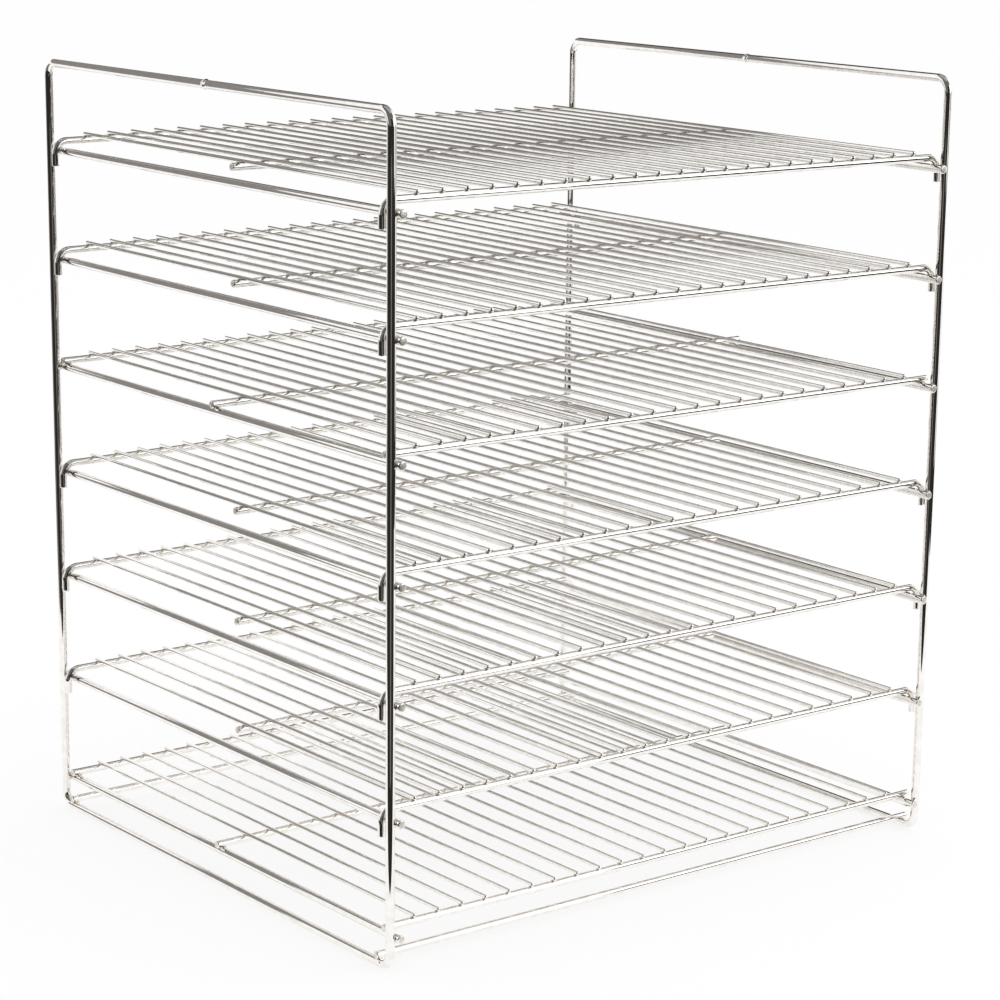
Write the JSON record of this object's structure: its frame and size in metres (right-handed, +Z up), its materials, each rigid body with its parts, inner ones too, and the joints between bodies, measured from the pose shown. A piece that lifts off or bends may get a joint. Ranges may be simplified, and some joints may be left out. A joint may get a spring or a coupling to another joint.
{
  "type": "wire display rack",
  "caption": "Free-standing bright-plated wire display rack: ladder-like side hoops carry tiers of open wire shelves, most hung by hooks so that they lift off.",
  "frame": {"origin": "on the floor, at the centre of the rack's footprint", "axes": "+Z up, +X from the left hoop to the right one, +Y from the open front to the back"},
  "size_m": [0.473, 0.4184, 0.5435],
  "materials": {
    "plated_wire": "bright nickel plating over welded steel wire"
  },
  "bodies": {
    "frame": {"left_hoop": "plated_wire", "right_hoop": "plated_wire", "left_rung_1": "plated_wire", "left_rung_2": "plated_wire", "left_rung_3": "plated_wire", "left_rung_4": "plated_wire", "left_rung_5": "plated_wire", "left_rung_6": "plated_wire", "left_rung_7": "plated_wire", "right_rung_1": "plated_wire", "right_rung_2": "plated_wire", "right_rung_3": "plated_wire", "right_rung_4": "plated_wire", "right_rung_5": "plated_wire", "right_rung_6": "plated_wire", "right_rung_7": "plated_wire", "front_stretcher": "plated_wire", "rear_stretcher": "plated_wire", "shelf_3_front_wire": "plated_wire", "shelf_3_rear_wire": "plated_wire", "shelf_3_middle_wire": "plated_wire", "shelf_3_deck_wires": "plated_wire", "shelf_7_front_wire": "plated_wire", "shelf_7_rear_wire": "plated_wire", "shelf_7_middle_wire": "plated_wire", "shelf_7_deck_wires": "plated_wire"},
    "shelf_1": {"shelf_1_front_wire": "plated_wire", "shelf_1_rear_wire": "plated_wire", "shelf_1_middle_wire": "plated_wire", "shelf_1_deck_wires": "plated_wire"},
    "shelf_2": {"shelf_2_front_wire": "plated_wire", "shelf_2_rear_wire": "plated_wire", "shelf_2_middle_wire": "plated_wire", "shelf_2_deck_wires": "plated_wire"},
    "shelf_4": {"shelf_4_front_wire": "plated_wire", "shelf_4_rear_wire": "plated_wire", "shelf_4_middle_wire": "plated_wire", "shelf_4_deck_wires": "plated_wire"},
    "shelf_5": {"shelf_5_front_wire": "plated_wire", "shelf_5_rear_wire": "plated_wire", "shelf_5_middle_wire": "plated_wire", "shelf_5_deck_wires": "plated_wire"},
    "shelf_6": {"shelf_6_front_wire": "plated_wire", "shelf_6_rear_wire": "plated_wire", "shelf_6_middle_wire": "plated_wire", "shelf_6_deck_wires": "plated_wire"}
  },
  "joints": [
    {"name": "shelf_1_lift", "type": "slide", "parent": "frame", "child": "shelf_1", "axis": [0, 0, 1], "range_m": [0, 0.0475]},
    {"name": "shelf_2_lift", "type": "slide", "parent": "frame", "child": "shelf_2", "axis": [0, 0, 1], "range_m": [0, 0.057]},
    {"name": "shelf_4_lift", "type": "slide", "parent": "frame", "child": "shelf_4", "axis": [0, 0, 1], "range_m": [0, 0.0627]},
    {"name": "shelf_5_lift", "type": "slide", "parent": "frame", "child": "shelf_5", "axis": [0, 0, 1], "range_m": [0, 0.057]},
    {"name": "shelf_6_lift", "type": "slide", "parent": "frame", "child": "shelf_6", "axis": [0, 0, 1], "range_m": [0, 0.057]}
  ]
}
